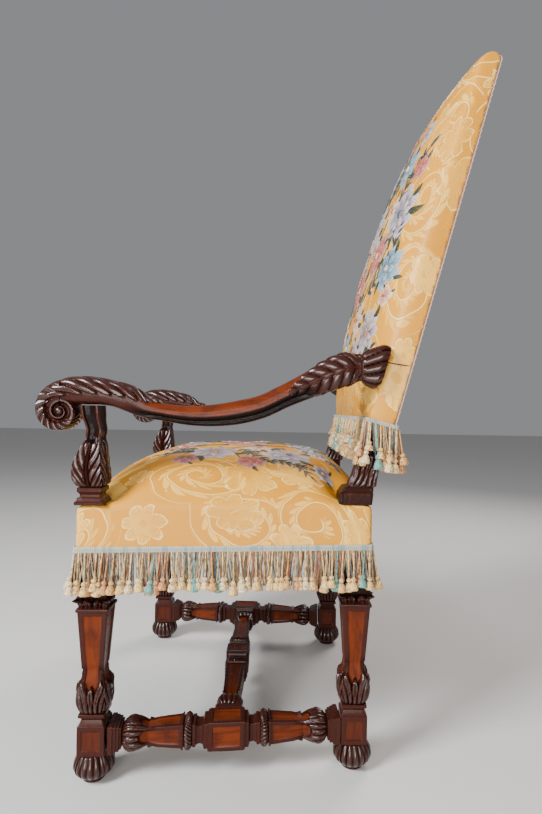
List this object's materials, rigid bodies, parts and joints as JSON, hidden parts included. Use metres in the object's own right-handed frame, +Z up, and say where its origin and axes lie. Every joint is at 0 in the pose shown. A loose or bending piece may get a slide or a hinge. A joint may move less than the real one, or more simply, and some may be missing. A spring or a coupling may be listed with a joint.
{
  "type": "ceremonial armchair",
  "caption": "Tall armchair with carved walnut legs, stretchers and scrolled arms, a domed seat and a high raked back in silk, both edged with a tasselled fringe.",
  "frame": {"origin": "on the floor under the middle of the chair's bounding box", "axes": "+Z up, -Y the way the chair faces, +X towards the sitter's left"},
  "size_m": [0.6482, 0.7636, 1.2456],
  "materials": {
    "walnut": "waxed gloss",
    "silk_damask": "satin sheen",
    "silk_fringe": "matte"
  },
  "bodies": {
    "root": {"front_leg_left": "walnut", "front_leg_right": "walnut", "rear_post_left": "walnut", "rear_post_right": "walnut", "side_stretcher_left": "walnut", "side_stretcher_right": "walnut", "cross_stretcher": "walnut", "arm_left": "walnut", "arm_right": "walnut", "arm_support_left": "walnut", "arm_support_right": "walnut", "seat_rail_front": "walnut", "seat_rail_rear": "walnut", "seat_rail_left": "walnut", "seat_rail_right": "walnut", "back_rail_lower": "walnut", "back_rail_upper": "walnut", "seat_upholstery": "silk_damask", "back_upholstery": "silk_damask", "seat_fringe": "silk_fringe", "back_fringe": "silk_fringe"}
  },
  "joints": []
}
